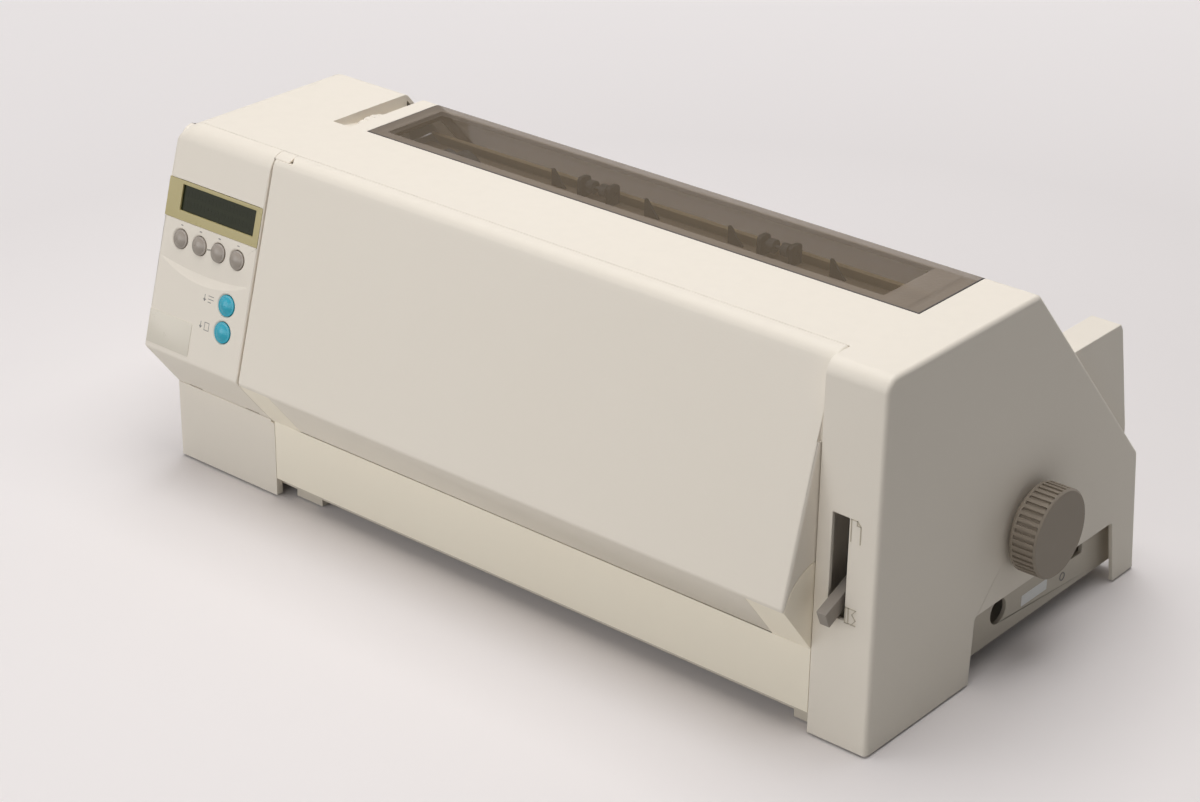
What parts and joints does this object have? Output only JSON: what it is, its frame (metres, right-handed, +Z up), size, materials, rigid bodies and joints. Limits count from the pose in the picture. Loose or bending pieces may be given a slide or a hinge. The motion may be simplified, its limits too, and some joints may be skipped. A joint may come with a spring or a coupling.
{
  "type": "dot matrix printer",
  "caption": "Wide desk-top impact printer with drop-down front cover, smoked window lid, keypad with display, platen knob and paper tractors.",
  "frame": {"origin": "middle of the footprint on the table, platen knob included", "axes": "+X to the printer's right seen from the front, +Y to the rear, +Z up"},
  "size_m": [0.623, 0.3408, 0.251],
  "materials": {
    "case_plastic": "fine-grained warm white moulded plastic",
    "panel_plastic": "slightly yellowed moulded plastic",
    "pan_plastic": "moulded structural plastic",
    "smoke_window": "smoked transparent plastic with a textured border",
    "bezel_plastic": "yellowed translucent plastic",
    "display_glass": "dark green-grey display",
    "grey_key": "domed grey key",
    "blue_key": "domed blue key",
    "key_rubber": "pale silicone",
    "circuit_board": "green board",
    "sheet_steel": "zinc-plated sheet",
    "rod_steel": "ground rod",
    "black_rubber": "matt rubber",
    "knob_plastic": "brown-grey plastic",
    "gear_plastic": "natural acetal",
    "motor_metal": "dark motor can",
    "tractor_plastic": "black plastic",
    "carriage_plastic": "glass-filled plastic",
    "head_metal": "cast heat sink",
    "guide_plastic": "beige paper guide",
    "lever_plastic": "grey plastic",
    "supply_metal": "folded sheet case",
    "black_plastic": "black plastic"
  },
  "bodies": {
    "case": {"base_pan": "pan_plastic", "rubber_feet": "black_rubber", "upper_case": "case_plastic", "rear_posts": "case_plastic", "front_left_cover": "case_plastic", "lower_front_panel": "panel_plastic", "control_panel": "case_plastic", "display_bezel": "bezel_plastic", "display_module": "display_glass", "key_mat": "key_rubber", "panel_board": "circuit_board", "side_frames": "sheet_steel", "platen_bushes": "gear_plastic", "idler_stud": "rod_steel", "feed_motor": "motor_metal", "tractor_rod_bar": "rod_steel", "carriage_rods": "rod_steel", "carriage_motor": "motor_metal", "belt_tensioner": "sheet_steel", "timing_belt": "black_rubber", "rear_paper_guide": "guide_plastic", "lower_paper_guide": "sheet_steel", "exit_guide_bar": "tractor_plastic", "main_board": "circuit_board", "power_supply": "supply_metal", "power_inlet": "black_plastic", "power_switch": "black_plastic", "interface_connector": "lever_plastic"},
    "front_cover": {"front_cover": "case_plastic"},
    "window_lid": {"window_lid": "smoke_window"},
    "platen": {"platen_shaft": "rod_steel", "platen_roller": "black_rubber", "platen_knob": "knob_plastic", "platen_gear": "gear_plastic"},
    "idler": {"idler_gear": "gear_plastic"},
    "pinion": {"feed_pinion": "rod_steel"},
    "tractor_drive": {"tractor_shaft": "rod_steel", "tractor_gear": "gear_plastic"},
    "left_tractor": {"left_tractor": "tractor_plastic"},
    "right_tractor": {"right_tractor": "tractor_plastic"},
    "left_tractor_door": {"left_tractor_door": "tractor_plastic"},
    "right_tractor_door": {"right_tractor_door": "tractor_plastic"},
    "carriage": {"carriage": "carriage_plastic", "print_head": "head_metal", "ribbon_cartridge": "black_plastic"},
    "drive_pulley": {"drive_pulley": "rod_steel"},
    "tension_pulley": {"tension_pulley": "rod_steel"},
    "exit_rollers": {"exit_rollers": "lever_plastic"},
    "paper_lever": {"paper_lever": "lever_plastic"},
    "thickness_dial": {"thickness_dial": "case_plastic"},
    "power_rocker": {"power_rocker": "black_plastic"},
    "menu_button_1": {"menu_button_1": "grey_key"},
    "menu_button_2": {"menu_button_2": "grey_key"},
    "menu_button_3": {"menu_button_3": "grey_key"},
    "menu_button_4": {"menu_button_4": "grey_key"},
    "line_feed_button": {"line_feed_button": "blue_key"},
    "form_feed_button": {"form_feed_button": "blue_key"}
  },
  "joints": [
    {"name": "front_cover_hinge", "type": "hinge", "parent": "case", "child": "front_cover", "pos_m": [0.0135, -0.13963, 0.089], "axis": [1, 0, 0], "range_deg": [0, 80]},
    {"name": "window_lid_hinge", "type": "hinge", "parent": "case", "child": "window_lid", "pos_m": [0.0225, 0.05086, 0.20449], "axis": [-1, 0, 0], "range_deg": [0, 80]},
    {"name": "platen_turn", "type": "hinge", "parent": "case", "child": "platen", "pos_m": [0.0125, 0.02637, 0.093], "axis": [1, 0, 0], "continuous": true},
    {"name": "idler_turn", "type": "hinge", "parent": "case", "child": "idler", "pos_m": [-0.2185, 0.08274, 0.0914], "axis": [1, 0, 0], "continuous": true},
    {"name": "pinion_turn", "type": "hinge", "parent": "case", "child": "pinion", "pos_m": [-0.2185, 0.08274, 0.05], "axis": [1, 0, 0], "continuous": true},
    {"name": "tractor_drive_turn", "type": "hinge", "parent": "case", "child": "tractor_drive", "pos_m": [0.0125, 0.13237, 0.078], "axis": [1, 0, 0], "continuous": true},
    {"name": "left_tractor_slide", "type": "slide", "parent": "case", "child": "left_tractor", "axis": [1, 0, 0], "range_m": [0, 0.09]},
    {"name": "right_tractor_slide", "type": "slide", "parent": "case", "child": "right_tractor", "axis": [1, 0, 0], "range_m": [-0.11, 0.02]},
    {"name": "left_tractor_door_hinge", "type": "hinge", "parent": "left_tractor", "child": "left_tractor_door", "pos_m": [-0.169, 0.11637, 0.092], "axis": [0, -1, 0], "range_deg": [0, 100]},
    {"name": "right_tractor_door_hinge", "type": "hinge", "parent": "right_tractor", "child": "right_tractor_door", "pos_m": [0.196, 0.11637, 0.092], "axis": [0, 1, 0], "range_deg": [0, 100]},
    {"name": "carriage_slide", "type": "slide", "parent": "case", "child": "carriage", "axis": [1, 0, 0], "range_m": [0, 0.346]},
    {"name": "drive_pulley_turn", "type": "hinge", "parent": "case", "child": "drive_pulley", "pos_m": [0.2105, -0.05263, 0.031], "axis": [0, 1, 0], "range_deg": [-5, 2310.2]},
    {"name": "tension_pulley_turn", "type": "hinge", "parent": "case", "child": "tension_pulley", "pos_m": [-0.1915, -0.05263, 0.031], "axis": [0, 1, 0], "range_deg": [-5, 2310.2]},
    {"name": "exit_rollers_turn", "type": "hinge", "parent": "case", "child": "exit_rollers", "pos_m": [0.0245, 0.00937, 0.231], "axis": [1, 0, 0], "continuous": true},
    {"name": "paper_lever_pivot", "type": "hinge", "parent": "case", "child": "paper_lever", "pos_m": [0.2612, -0.08463, 0.122], "axis": [-1, 0, 0], "range_deg": [0, 44]},
    {"name": "thickness_dial_turn", "type": "hinge", "parent": "case", "child": "thickness_dial", "pos_m": [-0.2225, -0.02863, 0.2145], "axis": [1, 0, 0], "range_deg": [0, 90]},
    {"name": "menu_button_1_press", "type": "slide", "parent": "case", "child": "menu_button_1", "axis": [0, 0.9636, -0.2672], "range_m": [0, 0.0015], "stiffness_N_per_m": 400},
    {"name": "menu_button_2_press", "type": "slide", "parent": "case", "child": "menu_button_2", "axis": [0, 0.9636, -0.2672], "range_m": [0, 0.0015], "stiffness_N_per_m": 400},
    {"name": "menu_button_3_press", "type": "slide", "parent": "case", "child": "menu_button_3", "axis": [0, 0.9636, -0.2672], "range_m": [0, 0.0015], "stiffness_N_per_m": 400},
    {"name": "menu_button_4_press", "type": "slide", "parent": "case", "child": "menu_button_4", "axis": [0, 0.9636, -0.2672], "range_m": [0, 0.0015], "stiffness_N_per_m": 400},
    {"name": "line_feed_button_press", "type": "slide", "parent": "case", "child": "line_feed_button", "axis": [0, 0.9636, -0.2672], "range_m": [0, 0.0015], "stiffness_N_per_m": 400},
    {"name": "form_feed_button_press", "type": "slide", "parent": "case", "child": "form_feed_button", "axis": [0, 0.9636, -0.2672], "range_m": [0, 0.0015], "stiffness_N_per_m": 400},
    {"name": "power_rocker_pivot", "type": "hinge", "parent": "case", "child": "power_rocker", "pos_m": [-0.2075, 0.15737, 0.034], "axis": [0, 0, -1], "range_deg": [0, 14]}
  ],
  "couplings": [
    {"joint": "idler_turn", "follows": "platen_turn", "ratio": -0.8},
    {"joint": "pinion_turn", "follows": "platen_turn", "ratio": 2.5},
    {"joint": "tractor_drive_turn", "follows": "platen_turn", "ratio": 1.25},
    {"joint": "drive_pulley_turn", "follows": "carriage_slide", "rad_per_m": 116.28},
    {"joint": "tension_pulley_turn", "follows": "carriage_slide", "rad_per_m": 116.28}
  ]
}
